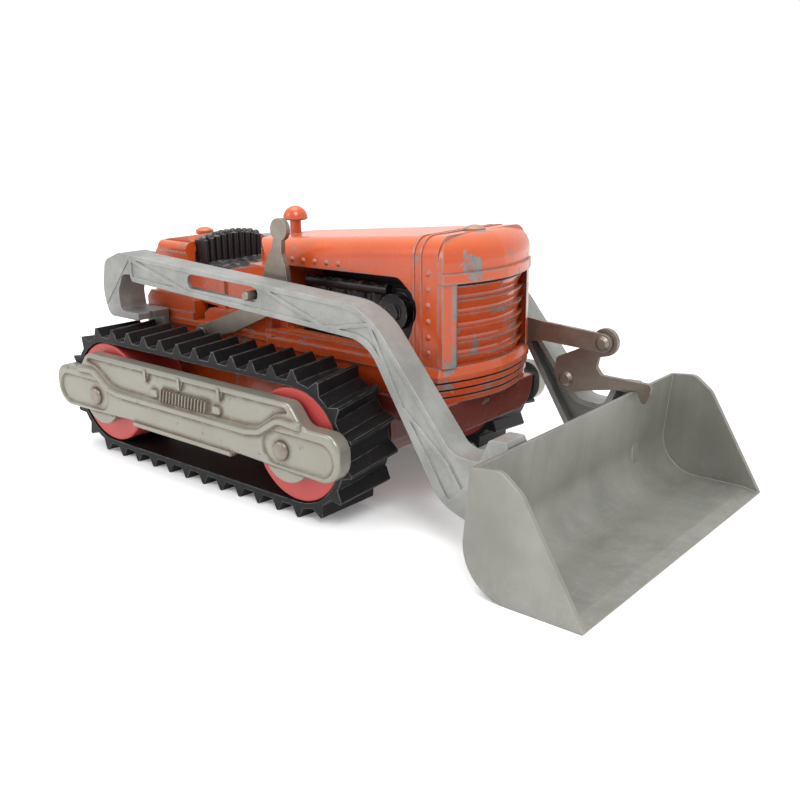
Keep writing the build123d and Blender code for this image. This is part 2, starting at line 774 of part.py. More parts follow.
over_lower_flange = [((153.9, 0.0), 0.5), ((153.9, 15.2), 0.5), ((124.9, 62.4), 12.0), ((5.0, 69.3), 0.5)]
face_recess = [
    ((5.0, 75.6), 0.5),
    ((122.6, 69.5), 22.3),
    ((155.9, 29.3), 5.0),
    ((161.0, 22.0), 1.0),
    ((155.5, 15.8), 1.0),
    ((124.7, 62.2), 12.5),
    ((5.0, 69.0), 0.5),
]
hook_area = [
    ((4.0, 82.0), 0.5),
    ((-20.0, 82.0), 0.5),
    ((-20.0, 50.0), 0.5),
    ((8.0, 50.0), 0.5),
    ((4.0, 66.0), 0.5),
]
hook_shape = [
    ((5.0, 54.9), 0.4),
    ((-4.4, 54.9), 2.0),
    ((-5.2, 62.0), 6.0),
    ((-1.8, 69.4), 3.0),
    ((5.0, 69.9), 0.4),
    ((5.0, 77.2), 0.4),
    ((-3.0, 77.6), 6.0),
    ((-12.5, 74.0), 5.0),
    ((-15.2, 62.0), 14.0),
    ((-12.2, 52.2), 4.0),
    ((5.0, 52.2), 0.4),
]
face_ribs = [
    [(36.5, 66.6), (3.2, 76.0), (-13.2, 57.4)],
    [(76.0, 72.6), (106.0, 62.4), (124.5, 66.0), (137.5, 41.0)],
    [(138.0, 41.5), (155.0, 27.0), (160.5, 19.0)],
]
slot_ends = [(40.2, 70.6), (71.9, 69.8)]
slot_width = 5.4
rib_width = 1.2


def shaped(corners):
    """Face from corners, each with its own radius."""
    outline([point for point, _ in corners], [radius for _, radius in corners])


def arm_layer(side, corners, near_y, far_y, mode=Mode.ADD):
    """Prism between two distances from the centre line."""
    with BuildSketch(side_plane(side * far_y)) as layer:
        shaped(corners)
    extrude(layer.sketch, amount=side * (far_y - near_y), mode=mode)


def arm_disc(side, at, radius, near_y, far_y, mode=Mode.ADD):
    """Disc or bore between two distances from the centre line."""
    with BuildSketch(side_plane(side * far_y)) as disc:
        with Locations(at):
            Circle(radius)
    extrude(disc.sketch, amount=side * (far_y - near_y), mode=mode)


def build_arm(side):
    """Loader arm: flanged and ribbed casting with a hook and a pivot plate at its rear."""
    guide_inner_y = 27.0
    with BuildPart() as arm:
        arm_layer(side, arm_shape, arm_inner_y, arm_outer_y)
        arm_layer(
            side,
            under_top_flange + [((5.0, 0.0), 0.5)],
            arm_inner_y - 1.0,
            lower_flange_inner_y,
            Mode.SUBTRACT,
        )
        arm_layer(
            side,
            under_top_flange + over_lower_flange,
            lower_flange_inner_y - 1.0,
            web_inner_y,
            Mode.SUBTRACT,
        )
        arm_layer(side, face_recess, web_outer_y, arm_outer_y + 1.0, Mode.SUBTRACT)
        arm_layer(side, hook_area, hook_face_y, arm_outer_y + 1.0, Mode.SUBTRACT)
        arm_layer(side, hook_shape, hook_outer_y, arm_inner_y + 1.0)
        for rib in face_ribs:
            with BuildSketch(side_plane(side * arm_outer_y)):
                stroke(rib, rib_width)
            extrude(amount=side * (arm_outer_y - web_outer_y + 0.2))
        arm_disc(side, bucket_pivot, 4.6, web_inner_y, arm_outer_y)
        arm_disc(side, bucket_pivot, rod_radius, web_inner_y - 1.0, arm_outer_y + 1.0, Mode.SUBTRACT)
        # tab over the track and plate down to the arm pivot
        tab = [((-3.0, 52.4), 0.3), ((-3.0, 54.9), 0.3), ((6.0, 54.9), 0.3), ((6.0, 52.4), 0.3)]
        arm_layer(side, tab, hook_inner_y, arm_inner_y + 2.0)
        plate = [((-3.0, 54.9), 0.3), ((6.0, 54.9), 0.3), ((5.4, 32.0), 0.3), ((-3.4, 32.0), 0.3)]
        arm_layer(side, plate, hook_inner_y, hook_outer_y)
        arm_disc(side, arm_pivot, 4.5, hook_inner_y, hook_outer_y)
        arm_disc(side, arm_pivot, hinge_hole_radius, hook_inner_y - 1.0, hook_outer_y + 1.0, Mode.SUBTRACT)
        if side < 0:
            # slot for the lift lever's pin
            start, end = Vector(*slot_ends[0]), Vector(*slot_ends[1])
            span = end - start
            middle = start + span * 0.5
            with BuildSketch(side_plane(-arm_outer_y - 1.0)):
                with Locations((middle.X, middle.Y)):
                    SlotCenterToCenter(span.length, slot_width, rotation=degrees(atan2(span.Y, span.X)))
            extrude(amount=-(arm_outer_y - web_inner_y + 1.4), mode=Mode.SUBTRACT)
        else:
            # lug for the latch crank, and guide pegs for the trip rod
            arm_disc(side, latch_pivot, 4.4, arm_inner_y, arm_inner_y + 2.4)
            arm_disc(side, latch_pivot, rod_radius, arm_inner_y - 1.0, arm_inner_y + 6.0, Mode.SUBTRACT)
            for peg in guide_pegs:
                arm_disc(side, peg, peg_radius, guide_inner_y, web_inner_y)
                arm_disc(side, peg, 2.2, web_inner_y - 1.0, web_outer_y)
    return arm.part


peg_radius = 1.2
guide_pegs = [(95.0, 61.3), (95.0, 70.3)]

finish(build_arm(-1), "arm_right")
finish(build_arm(1), "arm_left")

with BuildPart() as bucket_hinge_rod:
    rivet(bucket_pivot, 3.0, -arm_outer_y - end_float, arm_outer_y + end_float, 1.2)
finish(bucket_hinge_rod.part, "bucket_hinge_rod")

# ---------------------------------------------------------------- bucket

bucket_half = bucket_width / 2
bucket_side = [
    ((177.2, 37.6), 0.6),
    ((173.4, 0.0), 15.0),
    ((lip_reach, 0.0), 0.5),
    ((193.5, 33.5), 6.0),
    ((187.0, 38.6), 5.0),
]
bucket_space = [
    ((178.82, 50.0), 0.4),
    ((178.82, 37.6), 0.4),
    ((175.18, sheet), 13.4),
    ((208.0, sheet), 2.0),
    ((lip_reach, 0.45), 0.1),
    ((lip_reach + 10.0, 0.45), 0.4),
    ((lip_reach + 10.0, 50.0), 0.4),
]
lug_shape = [((168.5, 18.5), 0.4), ((176.4, 22.0), 0.4), ((177.6, 8.0), 0.4), ((168.5, 9.5), 0.4)]

with BuildPart() as bucket:
    with BuildSketch(side_plane(0)):
        shaped(bucket_side)
    extrude(amount=bucket_half, both=True)
    with BuildSketch(side_plane(0)):
        shaped(bucket_space)
    extrude(amount=bucket_half - sheet, both=True, mode=Mode.SUBTRACT)
    for side in (-1, 1):
        arm_layer(side, lug_shape, 35.2, 39.6)
        arm_disc(side, bucket_pivot, 4.5, 35.2, 39.6)
        arm_disc(side, bucket_pivot, hinge_hole_radius, 34.0, 41.0, Mode.SUBTRACT)
finish(bucket.part, "bucket")

# ---------------------------------------------------------------- lift lever

lever_shape = [
    ((29.6, 51.6), 0.5),
    ((28.5, 44.4), 1.5),
    ((38.0, 48.4), 12.0),
    ((47.0, 51.0), 12.0),
    ((64.0, 58.5), 8.0),
    ((74.0, 64.0), 3.0),
    ((77.0, 70.0), 4.0),
    ((75.9, 77.5), 4.0),
    ((74.2, 82.0), 2.0),
    ((74.6, 88.0), 2.0),
    ((70.9, 88.0), 2.0),
    ((69.6, 84.2), 2.0),
    ((66.9, 79.4), 4.0),
    ((64.4, 73.5), 5.0),
    ((60.0, 66.0), 5.0),
    ((56.0, 61.8), 6.0),
]

with BuildPart() as lift_lever:
    arm_layer(-1, lever_shape, lever_inner_y, lever_outer_y)
    arm_disc(-1, lever_pivot, 3.7, lever_inner_y, lever_outer_y)
    arm_disc(-1, (73.2, 90.2), 3.9, lever_inner_y, lever_outer_y)
    arm_disc(-1, lever_pivot, hinge_hole_radius, lever_inner_y - 1.0, lever_outer_y + 1.0, Mode.SUBTRACT)
    arm_disc(-1, lever_pin_at, rod_radius, lever_inner_y - 1.0, lever_outer_y + 1.0, Mode.SUBTRACT)
finish(lift_lever.part, "lift_lever")

with BuildPart() as lever_pin:
    arm_disc(-1, lever_pin_at, rod_radius, lever_inner_y, arm_outer_y + 2.4)
    arm_disc(-1, lever_pin_at, 2.5, lever_inner_y - 0.8, lever_inner_y)
    fillet(lever_pin.edges().sort_by(Axis.Y)[0], 0.5)
finish(lever_pin.part, "lever_pin")

# ---------------------------------------------------------------- latch linkage

crank_inner_y = 30.2
crank_outer_y = 31.8
trip_inner_y = 28.4
trip_outer_y = 29.9
crank_shape = [
    ((148.4, 45.3), 2.0),
    ((163.0, 52.4), 1.0),
    ((169.0, 48.6), 0.5),
    ((164.9, 47.4), 0.8),
    ((164.1, 44.0), 1.6),
    ((166.2, 41.4), 1.6),
    ((184.9, 41.1), 1.5),
    ((184.4, 37.4), 1.0),
    ((182.9, 34.0), 0.5),
    ((181.4, 34.3), 0.3),
    ((179.5, 38.0), 0.2),
    ((175.5, 38.0), 0.3),
    ((162.5, 35.4), 8.0),
    ((155.8, 33.6), 2.0),
    ((150.2, 34.8), 2.0),
    ((147.8, 39.0), 2.0),
]
trip_shape = [
    ((167.0, 56.2), 0.4),
    ((144.0, 57.6), 10.0),
    ((134.0, 58.8), 6.0),
    ((126.0, 62.8), 6.0),
    ((117.0, 66.1), 8.0),
    ((61.0, 66.1), 4.0),
    ((55.0, 74.0), 2.0),
    ((49.0, 74.6), 2.0),
    ((48.0, 71.0), 2.0),
    ((54.5, 63.1), 4.0),
    ((118.0, 63.1), 6.0),
    ((134.0, 49.2), 5.0),
    ((144.0, 50.8), 10.0),
    ((167.0, 49.8), 0.4),
]

with BuildPart() as latch_crank:
    arm_layer(1, crank_shape, crank_inner_y, crank_outer_y)
    arm_disc(1, latch_joint, 4.8, crank_inner_y, crank_outer_y)
    arm_disc(1, latch_joint, rod_radius, crank_inner_y - 1.0, crank_outer_y + 1.0, Mode.SUBTRACT)
    arm_disc(1, latch_pivot, hinge_hole_radius, crank_inner_y - 1.0, crank_outer_y + 1.0, Mode.SUBTRACT)
finish(latch_crank.part, "latch_crank")

with BuildPart() as trip_rod:
    arm_layer(1, trip_shape, trip_inner_y, trip_outer_y)
    arm_disc(1, latch_joint, 3.2, trip_inner_y, trip_outer_y)
    arm_disc(1, latch_joint, hinge_hole_radius, trip_inner_y - 1.0, trip_outer_y + 1.0, Mode.SUBTRACT)
finish(trip_rod.part, "trip_rod")

with BuildPart() as latch_rivet:
    rivet(latch_pivot, 2.8, crank_inner_y - end_float, arm_inner_y + 2.4, 1.0, end_head=False)
finish(latch_rivet.part, "latch_rivet")

with BuildPart() as joint_rivet:
    rivet(latch_joint, 2.6, trip_inner_y - end_float, crank_outer_y, 1.0)
finish(joint_rivet.part, "joint_rivet")
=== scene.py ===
import json
import math

import bpy
from mathutils import Matrix, Vector

# Toy crawler loader: materials, floor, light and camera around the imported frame.
# Lengths are in metres, and colours are linear red, green and blue.

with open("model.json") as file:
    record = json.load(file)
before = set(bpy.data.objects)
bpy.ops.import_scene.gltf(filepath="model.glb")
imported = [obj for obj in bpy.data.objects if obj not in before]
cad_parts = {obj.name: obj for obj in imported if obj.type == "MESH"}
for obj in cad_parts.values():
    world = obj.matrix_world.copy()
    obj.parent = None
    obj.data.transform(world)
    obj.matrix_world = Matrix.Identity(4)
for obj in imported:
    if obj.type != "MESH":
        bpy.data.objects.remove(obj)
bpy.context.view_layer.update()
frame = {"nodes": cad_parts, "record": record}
scene = bpy.context.scene

MM = 0.001
SIDE_RAYS = 6

# ------------------------------------------------------------------ camera

CAMERA_AT = Vector((0.2252, -0.2610, 0.1291))
CAMERA_DIRECTION = Vector((-0.6133, 0.7364, -0.2856))
CAMERA_ROLL = math.radians(-0.59)
LENS = 43.93
SENSOR_WIDTH = 36.0
NEAREST = 0.01

camera_data = bpy.data.cameras.new("camera")
camera_data.lens = LENS
camera_data.sensor_width = SENSOR_WIDTH
camera_data.clip_start = NEAREST
camera = bpy.data.objects.new("camera", camera_data)
scene.collection.objects.link(camera)
look = CAMERA_DIRECTION.to_track_quat("-Z", "Y").to_matrix().to_4x4()
camera.matrix_world = Matrix.Translation(CAMERA_AT) @ look @ Matrix.Rotation(CAMERA_ROLL, 4, "Z")
scene.camera = camera

# ------------------------------------------------------------------ node helper


class Shader:
    """A Principled material built up from a few short calls. Positions are the piece's own, in metres."""

    def __init__(self, name):
        self.material = bpy.data.materials.new(name)
        self.material.use_nodes = True
        self.tree = self.material.node_tree
        self.surface = self.tree.nodes["Principled BSDF"]
        self.position = self.node("ShaderNodeTexCoord").outputs["Object"]

    def node(self, kind, **settings):
        """New node with its settings."""
        made = self.tree.nodes.new(kind)
        for key, value in settings.items():
            setattr(made, key, value)
        return made

    def feed(self, socket, value):
        """Link a socket to another one, or set it to a number or a colour."""
        if isinstance(value, bpy.types.NodeSocket):
            self.tree.links.new(value, socket)
        elif isinstance(value, tuple) and len(value) == 3 and socket.type == "RGBA":
            socket.default_value = (*value, 1.0)
        else:
            socket.default_value = value

    def math(self, operation, a, b=0.0, clamp=False):
        made = self.node("ShaderNodeMath", operation=operation, use_clamp=clamp)
        self.feed(made.inputs[0], a)
        self.feed(made.inputs[1], b)
        return made.outputs[0]

    def times(self, a, b):
        return self.math("MULTIPLY", a, b)

    def larger(self, a, b, clamp=False):
        return self.math("MAXIMUM", a, b, clamp)

    def mapped(self, scale):
        """The position, stretched along each axis."""
        made = self.node("ShaderNodeMapping")
        self.tree.links.new(self.position, made.inputs["Vector"])
        made.inputs["Scale"].default_value = scale
        return made.outputs[0]

    def noise(self, scale, detail=3.0, rough=0.5, stretch=None, seed=0.0):
        made = self.node("ShaderNodeTexNoise", noise_dimensions="4D")
        self.feed(made.inputs["Vector"], self.mapped(stretch) if stretch else self.position)
        made.inputs["Scale"].default_value = scale
        made.inputs["Detail"].default_value = detail
        made.inputs["Roughness"].default_value = rough
        made.inputs["W"].default_value = seed
        return made.outputs["Fac"]

    def step(self, value, low, high):
        """Smooth 0 to 1 as value goes from low to high."""
        made = self.node("ShaderNodeMapRange", interpolation_type="SMOOTHSTEP")
        self.feed(made.inputs["Value"], value)
        made.inputs["From Min"].default_value = low
        made.inputs["From Max"].default_value = high
        return made.outputs["Result"]

    def mix(self, factor, a, b):
        """Colour a where the factor is 0, b where it is 1."""
        made = self.node("ShaderNodeMix", data_type="RGBA")
        self.feed(made.inputs["Factor"], factor)
        self.feed(made.inputs["A"], a)
        self.feed(made.inputs["B"], b)
        return made.outputs["Result"]

    def blend(self, factor, a, b):
        """Number a where the factor is 0, b where it is 1."""
        made = self.node("ShaderNodeMix", data_type="FLOAT")
        self.feed(made.inputs["Factor"], factor)
        self.feed(made.inputs["A"], a)
        self.feed(made.inputs["B"], b)
        return made.outputs["Result"]

    def edges(self, radius):
        """0 on flat ground, rising towards 1 at sharp edges and creases."""
        rounded = self.node("ShaderNodeBevel", samples=SIDE_RAYS)
        rounded.inputs["Radius"].default_value = radius
        plain = self.node("ShaderNodeNewGeometry")
        dot = self.node("ShaderNodeVectorMath", operation="DOT_PRODUCT")
        self.tree.links.new(rounded.outputs["Normal"], dot.inputs[0])
        self.tree.links.new(plain.outputs["Normal"], dot.inputs[1])
        return self.math("SUBTRACT", 1.0, dot.outputs["Value"], clamp=True)

    def hollows(self, distance):
        """1 deep in a corner or crease, 0 in the open."""
        made = self.node("ShaderNodeAmbientOcclusion", samples=SIDE_RAYS)
        made.inputs["Distance"].default_value = distance
        return self.math("SUBTRACT", 1.0, made.outputs["AO"], clamp=True)

    def worn_edges(self, radius, low, high, patches):
        """Sharp edges of at least that much turn, only where the patches are."""
        return self.times(self.step(self.edges(radius), low, high), patches)

    def painted_hollow_shade(self, distance, low, high, strength):
        """Painted shade: darkening in corners and creases up to that far across."""
        return self.times(self.step(self.hollows(distance), low, high), strength)

    def coordinates(self):
        """The position's x, y and z."""
        made = self.node("ShaderNodeSeparateXYZ")
        self.tree.links.new(self.position, made.inputs[0])
        return made.outputs

    def facing_up(self):
        """1 on a face that looks up, 0 on an upright one."""
        plain = self.node("ShaderNodeNewGeometry")
        made = self.node("ShaderNodeSeparateXYZ")
        self.tree.links.new(plain.outputs["Normal"], made.inputs[0])
        return made.outputs[2]

    def finish(self, colour, roughness, metallic=0.0, bumps=(), soft_edge=0.0, **constants):
        """Set the surface, with bumps as (height, distance, strength) over edges softened by a radius."""
        self.feed(self.surface.inputs["Base Color"], colour)
        self.feed(self.surface.inputs["Roughness"], roughness)
        self.feed(self.surface.inputs["Metallic"], metallic)
        for key, value in constants.items():
            self.surface.inputs[key.replace("_", " ")].default_value = value
        normal = None
        if soft_edge:
            rounded = self.node("ShaderNodeBevel", samples=SIDE_RAYS)
            rounded.inputs["Radius"].default_value = soft_edge
            normal = rounded.outputs["Normal"]
        for value, distance, strength in bumps:
            bump = self.node("ShaderNodeBump")
            self.feed(bump.inputs["Height"], value)
            bump.inputs["Distance"].default_value = distance
            bump.inputs["Strength"].default_value = strength
            if normal:
                self.tree.links.new(normal, bump.inputs["Normal"])
            normal = bump.outputs["Normal"]
        if normal:
            self.tree.links.new(normal, self.surface.inputs["Normal"])
        return self.material


# ------------------------------------------------------------------ colours

ORANGE = (0.485, 0.066, 0.008)
ORANGE_DEEP = (0.410, 0.050, 0.006)
# painted top light: the lighter orange of faces that look up
ORANGE_TOP_LIT = (0.58, 0.125, 0.028)
# painted shade: the dark orange put into corners and creases
ORANGE_HOLLOW_SHADE = (0.085, 0.012, 0.006)
SHADOW_MAROON = (0.060, 0.016, 0.018)
ZINC_DARK = (0.13, 0.120, 0.115)
ZINC = (0.27, 0.26, 0.25)
BLACK = (0.006, 0.005, 0.006)
BLACK_BROWN = (0.016, 0.011, 0.012)
RUBBED_BLACK = (0.36, 0.33, 0.33)
RUBBER = (0.003, 0.003, 0.0035)
RUBBER_GREY = (0.009, 0.009, 0.010)
RUBBER_DUST = (0.060, 0.058, 0.055)
# painted highlight: the grey put on the track crests' edges
RUBBER_CREST_HIGHLIGHT = (0.24, 0.235, 0.225)
RED = (0.46, 0.052, 0.044)
RED_DEEP = (0.37, 0.038, 0.036)
# painted shade: the dark red put into corners and creases
RED_HOLLOW_SHADE = (0.06, 0.015, 0.013)
RED_SCUFF = (0.58, 0.20, 0.17)
SILVER = (0.290, 0.288, 0.258)
SILVER_YELLOWED = (0.200, 0.184, 0.142)
SILVER_STAIN = (0.105, 0.068, 0.038)
SILVER_SPOT = (0.12, 0.095, 0.075)
SILVER_RUBBED = (0.20, 0.18, 0.16)
CAST_GREY = (0.300, 0.303, 0.287)
CAST_GREY_DULL = (0.175, 0.176, 0.168)
CAST_GRAIN = (0.33, 0.333, 0.318)
# painted shade: the dark grey put into corners and creases
CAST_HOLLOW_SHADE = (0.11, 0.105, 0.095)
CAST_BRIGHT = (0.56, 0.56, 0.54)
SHEET_GREY = (0.270, 0.268, 0.240)
SHEET_GREY_DULL = (0.185, 0.184, 0.164)
SHEET_STREAK = (0.36, 0.355, 0.315)
SHEET_OXIDE = (0.30, 0.32, 0.325)
SHEET_RUST = (0.24, 0.165, 0.085)
# painted shade: the dark grey put into corners and creases
SHEET_HOLLOW_SHADE = (0.085, 0.078, 0.066)
SHEET_BRIGHT = (0.45, 0.44, 0.40)
STEEL = (0.25, 0.215, 0.180)
STEEL_DARK = (0.150, 0.120, 0.098)
STEEL_BRUSHED = (0.36, 0.32, 0.27)
# painted shade: the dark brown put into corners and creases
STEEL_HOLLOW_SHADE = (0.07, 0.05, 0.03)
STEEL_BRIGHT = (0.62, 0.58, 0.50)
CAP_ORANGE = (0.52, 0.17, 0.075)
CAP_BARE = (0.30, 0.22, 0.155)
# painted shade: the dark brown put into corners and creases
CAP_HOLLOW_SHADE = (0.08, 0.03, 0.02)
CAP_RUBBED = (0.42, 0.36, 0.29)

# ------------------------------------------------------------------ materials


def orange_paint(name="orange_paint", worn=0.0, bare_level=0.66):
    """Glossy enamel, chipped to zinc on its edges, in islands and in fine specks."""
    s = Shader(name)
    body = s.mix(s.step(s.noise(22.0, 3.0, 0.5), 0.35, 0.7), ORANGE, ORANGE_DEEP)
    # painted top light: faces that look up are made a lighter orange
    top_lit = s.mix(s.times(s.step(s.facing_up(), 0.3, 0.95), 0.55), body, ORANGE_TOP_LIT)
    # painted shade: the orange is darkened in corners and creases
    shade_and_stain = s.mix(s.painted_hollow_shade(5.0 * MM, 0.30, 0.95, 0.70), top_lit, ORANGE_HOLLOW_SHADE)
    # painted shadow: the block under the nose is darkened, from the skirt's lower edge down
    along, _, up = s.coordinates()
    painted_under_shadow = s.times(s.step(up, 39.0 * MM, 38.2 * MM), s.step(along, 14.0 * MM, 18.0 * MM))
    shade_and_stain = s.mix(s.times(painted_under_shadow, 0.8), shade_and_stain, SHADOW_MAROON)
    open_face = s.step(s.hollows(1.6 * MM), 0.42, 0.22)
    patchy = s.step(s.noise(95.0, 4.0, 0.65, seed=5.0), 0.40, 0.52)
    ragged = s.step(s.noise(620.0, 4.0, 0.7, seed=1.0), 0.40 - worn, 0.50 - worn)
    edge = s.step(s.edges(1.1 * MM), 0.006, 0.05)
    edge_chips = s.times(s.times(edge, ragged), s.times(patchy, open_face))
    bare = s.step(s.noise(110.0, 3.0, 0.6, seed=9.0), bare_level, bare_level + 0.015)
    chips = s.larger(edge_chips, s.times(s.times(bare, ragged), 0.95))
    specks = s.step(s.noise(1500.0, 2.0, 0.6, seed=3.0), 0.66, 0.72)
    chips = s.larger(chips, s.times(specks, s.times(patchy, 0.5)), clamp=True)
    zinc = s.mix(s.noise(400.0, 3.0), ZINC_DARK, ZINC)
    gloss = s.blend(s.noise(60.0, 4.0, 0.6, seed=2.0), 0.20, 0.36)
    chip_steps = s.math("SUBTRACT", 1.0, chips)
    return s.finish(
        s.mix(chips, shade_and_stain, zinc),
        s.blend(chips, gloss, 0.55),
        s.times(chips, 0.5),
        bumps=((s.noise(260.0, 2.0), 0.10 * MM, 0.35), (chip_steps, 0.08 * MM, 0.6)),
        soft_edge=0.35 * MM,
        Specular_IOR_Level=0.50,
        Coat_Weight=0.25,
        Coat_Roughness=0.12,
    )


def black_paint():
    """Black paint, rubbed on its edges and on faces that look up."""
    s = Shader("black_paint")
    base = s.mix(s.noise(90.0, 3.0), BLACK, BLACK_BROWN)
    patches = s.step(s.noise(420.0, 3.0, 0.6, seed=4.0), 0.46, 0.6)
    edge = s.worn_edges(0.7 * MM, 0.012, 0.12, patches)
    up = s.step(s.facing_up(), 0.25, 0.85)
    rubbed = s.times(up, s.step(s.noise(420.0, 4.0, 0.7, seed=8.0), 0.46, 0.80))
    wear = s.larger(s.times(edge, 0.8), rubbed)
    return s.finish(
        s.mix(wear, base, RUBBED_BLACK),
        s.blend(wear, 0.36, 0.5),
        s.times(wear, 0.5),
        bumps=((s.noise(500.0, 2.0), 0.08 * MM, 0.4),),
        soft_edge=0.3 * MM,
    )


def track_rubber():
    """Matt black rubber, dusty, with a painted grey highlight along the crests."""
    s = Shader("track_rubber")
    base = s.mix(s.noise(60.0, 4.0, 0.6), RUBBER, RUBBER_GREY)
    dust = s.times(s.step(s.noise(700.0, 3.0, 0.6, seed=2.0), 0.45, 0.80), 0.16)
    patches = s.step(s.noise(240.0, 4.0, 0.7, seed=6.0), 0.32, 0.60)
    # painted highlight: the crests' edges are lightened to grey
    rub_and_highlight = s.worn_edges(0.6 * MM, 0.03, 0.22, patches)
    return s.finish(
        s.mix(s.times(rub_and_highlight, 0.85), s.mix(dust, base, RUBBER_DUST), RUBBER_CREST_HIGHLIGHT),
        s.blend(rub_and_highlight, 0.50, 0.70),
        bumps=((s.noise(900.0, 3.0, 0.6), 0.10 * MM, 0.5),),
        soft_edge=0.3 * MM,
        Specular_IOR_Level=0.22,
    )


def wheel_red():
    """Red moulded wheel, lightly scuffed."""
    s = Shader("wheel_red")
    base = s.mix(s.noise(70.0, 4.0, 0.6), RED, RED_DEEP)
    # painted shade: the red is darkened in corners and creases
    shade_and_stain = s.mix(s.painted_hollow_shade(4.0 * MM, 0.3, 0.95, 0.6), base, RED_HOLLOW_SHADE)
    scuff = s.step(s.noise(350.0, 5.0, 0.7, stretch=(1.0, 6.0, 1.0), seed=3.0), 0.60, 0.72)
    return s.finish(
        s.mix(s.times(scuff, 0.25), shade_and_stain, RED_SCUFF),
        s.blend(s.noise(150.0, 3.0, seed=1.0), 0.34, 0.55),
        bumps=((s.noise(320.0, 3.0), 0.08 * MM, 0.35),),
        soft_edge=0.5 * MM,
    )


def silver_paint():
    """Yellowed silver paint with brown stains in its relief and small dark spots."""
    s = Shader("silver_paint")
    base = s.mix(s.noise(45.0, 4.0, 0.6), SILVER, SILVER_YELLOWED)
    creases = s.step(s.hollows(1.8 * MM), 0.02, 0.22)
    patchy = s.step(s.noise(160.0, 5.0, 0.7, seed=3.0), 0.32, 0.60)
    stain = s.math("MULTIPLY", creases, s.blend(patchy, 0.35, 0.95), clamp=True)
    shade_and_stain = s.mix(stain, base, SILVER_STAIN)
    spots = s.step(s.noise(300.0, 4.0, 0.75, seed=7.0), 0.60, 0.68)
    spotty = s.mix(s.times(spots, 0.7), shade_and_stain, SILVER_SPOT)
    patches = s.step(s.noise(300.0, 4.0, 0.7, seed=5.0), 0.45, 0.62)
    rub_and_highlight = s.worn_edges(0.6 * MM, 0.03, 0.20, patches)
    return s.finish(
        s.mix(s.times(rub_and_highlight, 0.6), spotty, SILVER_RUBBED),
        s.blend(stain, 0.30, 0.75),
        s.blend(stain, 0.50, 0.0),
        bumps=((s.noise(240.0, 4.0, 0.6, seed=2.0), 0.16 * MM, 0.45),),
        soft_edge=0.5 * MM,
    )


def arm_metal():
    """Dull cast metal with a fine grain and brighter edges."""
    s = Shader("arm_metal")
    base = s.mix(s.step(s.noise(48.0, 5.0, 0.65), 0.34, 0.66), CAST_GREY, CAST_GREY_DULL)
    grain = s.mix(s.times(s.noise(1400.0, 2.0, 0.6, seed=2.0), 0.30), base, CAST_GRAIN)
    # painted shade: the metal is darkened in corners and creases
    shade_and_stain = s.mix(s.painted_hollow_shade(2.2 * MM, 0.22, 0.9, 0.6), grain, CAST_HOLLOW_SHADE)
    patches = s.step(s.noise(160.0, 3.0, 0.6, seed=4.0), 0.28, 0.6)
    bright = s.worn_edges(0.5 * MM, 0.03, 0.20, patches)
    return s.finish(
        s.mix(s.times(bright, 0.7), shade_and_stain, CAST_BRIGHT),
        s.blend(s.noise(200.0, 4.0, 0.6, seed=6.0), 0.40, 0.56),
        0.35,
        bumps=((s.noise(420.0, 3.0, 0.6), 0.10 * MM, 0.35),),
        soft_edge=0.35 * MM,
    )


def bucket_metal():
    """Bare sheet metal: upright streaks, pale oxide low down and rust near the lip."""
    s = Shader("bucket_metal")
    along, _, up = s.coordinates()
    base = s.mix(s.step(s.noise(28.0, 4.0, 0.6), 0.3, 0.72), SHEET_GREY, SHEET_GREY_DULL)
    streak = s.step(s.noise(90.0, 5.0, 0.65, stretch=(1.0, 1.0, 0.12), seed=2.0), 0.40, 0.72)
    streaked = s.mix(s.times(streak, 0.30), base, SHEET_STREAK)
    low = s.step(up, 14.0 * MM, 2.0 * MM)
    oxide = s.times(low, s.step(s.noise(420.0, 6.0, 0.75, seed=4.0), 0.48, 0.66))
    pale = s.mix(s.times(oxide, 0.40), streaked, SHEET_OXIDE)
    near_lip = s.step(along, 100.0 * MM, 117.0 * MM)
    rust = s.times(near_lip, s.step(s.noise(240.0, 5.0, 0.7, seed=6.0), 0.54, 0.68))
    rusty = s.mix(s.times(rust, 0.40), pale, SHEET_RUST)
    # painted shade: the sheet is darkened in corners and creases
    shade_and_stain = s.mix(s.painted_hollow_shade(6.0 * MM, 0.35, 0.95, 0.40), rusty, SHEET_HOLLOW_SHADE)
    patches = s.step(s.noise(140.0, 3.0, 0.6, seed=9.0), 0.3, 0.62)
    bright = s.worn_edges(0.6 * MM, 0.03, 0.20, patches)
    return s.finish(
        s.mix(s.times(bright, 0.6), shade_and_stain, SHEET_BRIGHT),
        s.blend(s.noise(120.0, 5.0, 0.65, seed=1.0), 0.38, 0.56),
        0.5,
        bumps=((s.noise(300.0, 4.0, 0.65), 0.10 * MM, 0.30),),
        soft_edge=0.5 * MM,
    )


def steel():
    """Brownish brushed steel of the stamped parts, rods and rivets."""
    s = Shader("steel")
    base = s.mix(s.step(s.noise(70.0, 5.0, 0.65), 0.3, 0.7), STEEL, STEEL_DARK)
    brushed = s.noise(260.0, 4.0, 0.7, stretch=(0.25, 1.0, 3.0), seed=2.0)
    lined = s.mix(s.times(brushed, 0.35), base, STEEL_BRUSHED)
    # painted shade: the steel is darkened in corners and creases
    shade_and_stain = s.mix(s.painted_hollow_shade(1.8 * MM, 0.25, 0.9, 0.7), lined, STEEL_HOLLOW_SHADE)
    edge = s.step(s.edges(0.35 * MM), 0.03, 0.20)
    return s.finish(
        s.mix(s.times(edge, 0.5), shade_and_stain, STEEL_BRIGHT),
        s.blend(s.noise(180.0, 4.0, 0.6, seed=4.0), 0.30, 0.48),
        0.75,
        bumps=((brushed, 0.05 * MM, 0.3),),
        soft_edge=0.25 * MM,
    )


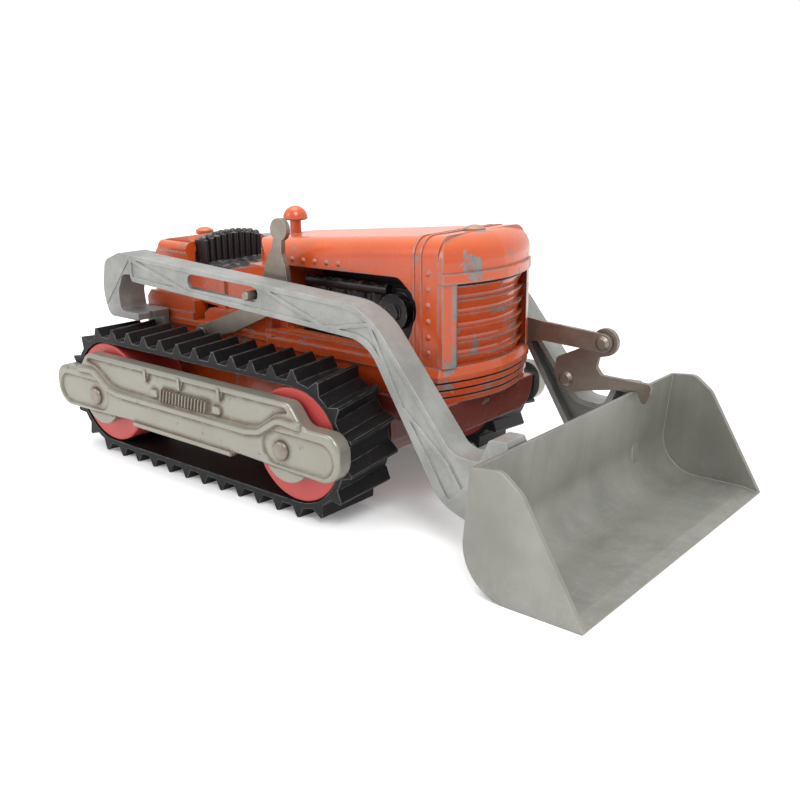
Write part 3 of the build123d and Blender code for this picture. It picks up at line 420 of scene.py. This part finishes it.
def cap_paint():
    """Thin orange paint over metal, mostly rubbed away."""
    s = Shader("cap_paint")
    base = s.mix(s.step(s.noise(260.0, 4.0, 0.7), 0.42, 0.6), CAP_ORANGE, CAP_BARE)
    # painted shade: the cap is darkened in corners and creases
    shade_and_stain = s.mix(s.painted_hollow_shade(2.0 * MM, 0.3, 0.9, 0.6), base, CAP_HOLLOW_SHADE)
    edge = s.step(s.edges(0.4 * MM), 0.06, 0.35)
    return s.finish(
        s.mix(edge, shade_and_stain, CAP_RUBBED),
        0.45,
        0.2,
        bumps=((s.noise(500.0, 3.0), 0.08 * MM, 0.4),),
        soft_edge=0.3 * MM,
    )


MATERIALS = {
    "orange_paint": orange_paint(),
    "black_paint": black_paint(),
    "rubber": track_rubber(),
    "wheel_red": wheel_red(),
    "silver_paint": silver_paint(),
    "arm_metal": arm_metal(),
    "bucket_metal": bucket_metal(),
    "steel": steel(),
    "cap_paint": cap_paint(),
}

for part in frame["record"]["subparts"]:
    node = frame["nodes"][part["node"]]
    node.data.materials.clear()
    node.data.materials.append(MATERIALS[part["material_slot"]])

# the front casting has lost the most paint
nose = frame["nodes"]["nose_casting"]
nose.data.materials.clear()
nose.data.materials.append(orange_paint("nose_paint", worn=0.08, bare_level=0.585))

# ------------------------------------------------------------------ floor and light

FLOOR_HALF = 6.0
FLOOR_GLOW = 0.12
WHITE = (1.0, 1.0, 1.0, 1.0)
PALE = (0.90, 0.90, 0.90)
PALER = (0.92, 0.92, 0.92)

floor_mesh = bpy.data.meshes.new("floor")
corners = [(FLOOR_HALF * x, FLOOR_HALF * y, 0.0) for x, y in ((-1, -1), (1, -1), (1, 1), (-1, 1))]
floor_mesh.from_pydata(corners, [], [(0, 1, 2, 3)])
floor = bpy.data.objects.new("floor", floor_mesh)
scene.collection.objects.link(floor)
floor_shader = Shader("floor_white")
floor_tone = floor_shader.mix(floor_shader.noise(4.0, 2.0), PALE, PALER)
floor_shader.finish(
    floor_tone, 0.9, Specular_IOR_Level=0.1, Emission_Color=WHITE, Emission_Strength=FLOOR_GLOW
)
floor_mesh.materials.append(floor_shader.material)

world = bpy.data.worlds.new("world")
world.use_nodes = True
background = world.node_tree.nodes["Background"]
background.inputs["Color"].default_value = WHITE
background.inputs["Strength"].default_value = 1.0
scene.world = world
scene.view_settings.view_transform = "Standard"


def area_light(name, at, toward, size, power):
    """Round soft light at a place, aimed at another."""
    data = bpy.data.lights.new(name, "AREA")
    data.shape = "DISK"
    data.size = size
    data.energy = power
    light = bpy.data.objects.new(name, data)
    light.location = at
    light.rotation_euler = (Vector(toward) - Vector(at)).to_track_quat("-Z", "Y").to_euler()
    scene.collection.objects.link(light)


area_light("key", at=(0.55, -0.45, 0.95), toward=(0.0, 0.0, 0.03), size=0.55, power=6.5)
area_light("top", at=(-0.25, 0.10, 1.10), toward=(0.0, 0.0, 0.03), size=0.80, power=5.0)
area_light("fill", at=(-0.55, -0.85, 0.55), toward=(-0.05, 0.0, 0.04), size=0.50, power=2.5)
